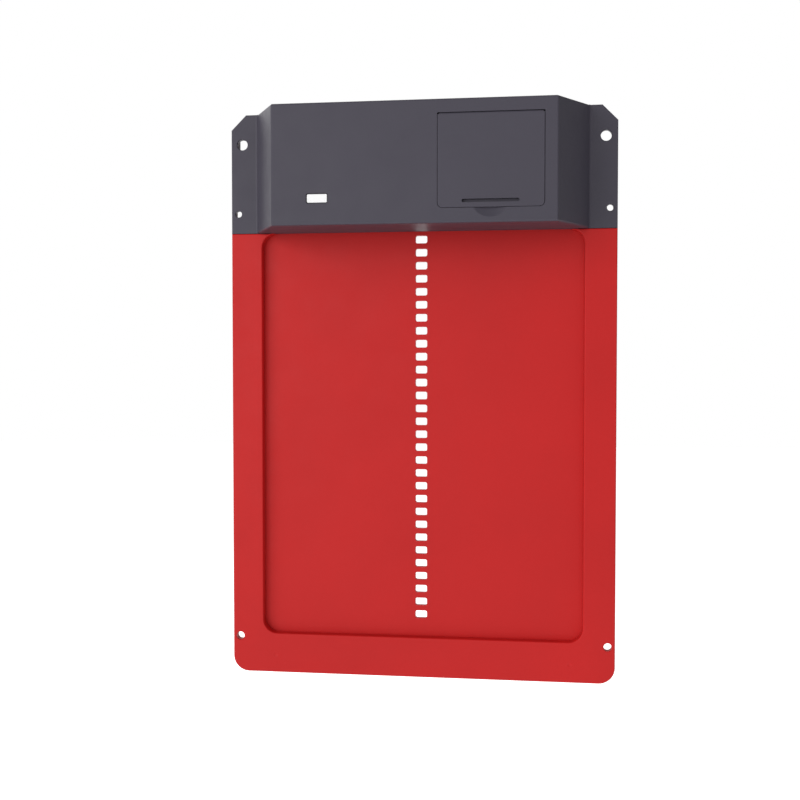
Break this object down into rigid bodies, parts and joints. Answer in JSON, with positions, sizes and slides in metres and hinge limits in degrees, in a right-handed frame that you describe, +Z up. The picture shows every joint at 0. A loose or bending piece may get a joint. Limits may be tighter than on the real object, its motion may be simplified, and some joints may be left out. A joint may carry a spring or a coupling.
{
  "type": "automatic poultry door",
  "caption": "Wall-mounted battery-powered sliding door for a poultry house, with a slate head housing, red frame and slotted red panel.",
  "frame": {"origin": "middle of the bottom edge of the frame, in the wall plane", "axes": "+X to the right seen from the front, +Y into the wall, +Z up"},
  "size_m": [0.24, 0.0547, 0.3528],
  "materials": {
    "red_plastic": "fine moulded texture, semi-matt",
    "red_panel": "smooth moulded sheet, semi-matt",
    "slate_plastic": "fine moulded texture, semi-matt",
    "white_plastic": "translucent diffuser",
    "amber_resin": "cast resin",
    "black_plastic": "moulded",
    "white_nylon": "moulded nylon",
    "seal_rubber": "soft moulded",
    "cell_wrap": "plain printed sleeve",
    "nickel": "nickel plate",
    "board_green": "solder mask",
    "chip_black": "moulded epoxy",
    "capacitor_sleeve": "shrink sleeve",
    "zinc": "zinc plate",
    "steel": "ground",
    "black_steel": "black oxide",
    "brass": "turned",
    "wire_sleeve": "insulation"
  },
  "bodies": {
    "housing": {"axle_1": "steel", "axle_2": "steel", "battery_1": "cell_wrap", "battery_2": "cell_wrap", "battery_3": "cell_wrap", "battery_4": "cell_wrap", "battery_tray": "black_plastic", "battery_wires": "wire_sleeve", "board_connectors": "white_nylon", "board_screws": "zinc", "bridge_screws": "zinc", "capacitor": "capacitor_sleeve", "contact_plates": "nickel", "contact_springs": "nickel", "control_board": "board_green", "controller_chip": "chip_black", "cover_gasket": "seal_rubber", "drive_screws": "zinc", "driver_chip": "chip_black", "frame_screws": "zinc", "front_frame": "red_plastic", "gearbox_case": "black_plastic", "gearbox_lid": "black_plastic", "gearbox_screws": "zinc", "head_back_plate": "slate_plastic", "head_screws": "zinc", "head_shell": "slate_plastic", "left_rail": "red_plastic", "light_sensor": "amber_resin", "light_window": "white_plastic", "motor_can": "zinc", "motor_end_cap": "black_plastic", "motor_screws": "zinc", "motor_terminals": "brass", "motor_wires": "wire_sleeve", "rail_screws": "zinc", "rear_bridge": "red_plastic", "right_rail": "red_plastic", "shaft_bushes": "brass", "smd_parts": "chip_black", "tray_screws": "zinc"},
    "door": {"door_panel": "red_panel"},
    "sprocket": {"drive_sprocket": "white_nylon", "output_shaft": "steel", "output_gear": "white_nylon", "sprocket_screw": "black_steel", "shaft_clip": "black_steel"},
    "idler_2": {"gear_2": "white_nylon"},
    "idler_1": {"gear_1": "white_nylon"},
    "rotor": {"motor_pinion": "brass", "motor_shaft": "steel"},
    "cover": {"battery_cover": "slate_plastic"}
  },
  "joints": [
    {"name": "door_slide", "type": "slide", "parent": "housing", "child": "door", "axis": [0, 0, 1], "range_m": [0, 0.26]},
    {"name": "sprocket_turn", "type": "hinge", "parent": "housing", "child": "sprocket", "pos_m": [0, -0.02001, 0.3145], "axis": [1, 0, 0], "continuous": true},
    {"name": "idler_2_turn", "type": "hinge", "parent": "housing", "child": "idler_2", "pos_m": [0, -0.03111, 0.31444], "axis": [1, 0, 0], "continuous": true},
    {"name": "idler_1_turn", "type": "hinge", "parent": "housing", "child": "idler_1", "pos_m": [0, -0.03399, 0.30125], "axis": [1, 0, 0], "continuous": true},
    {"name": "rotor_turn", "type": "hinge", "parent": "housing", "child": "rotor", "pos_m": [0, -0.0223, 0.2945], "axis": [1, 0, 0], "continuous": true},
    {"name": "cover_hinge", "type": "hinge", "parent": "housing", "child": "cover", "pos_m": [0.04537, -0.0535, 0.3397], "axis": [-1, 0, 0], "range_deg": [0, 90]}
  ],
  "couplings": [
    {"joint": "sprocket_turn", "follows": "door_slide", "rad_per_m": 64.483},
    {"joint": "idler_2_turn", "follows": "door_slide", "rad_per_m": -200.61},
    {"joint": "idler_1_turn", "follows": "door_slide", "rad_per_m": 802.45},
    {"joint": "rotor_turn", "follows": "door_slide", "rad_per_m": -3209.8}
  ]
}
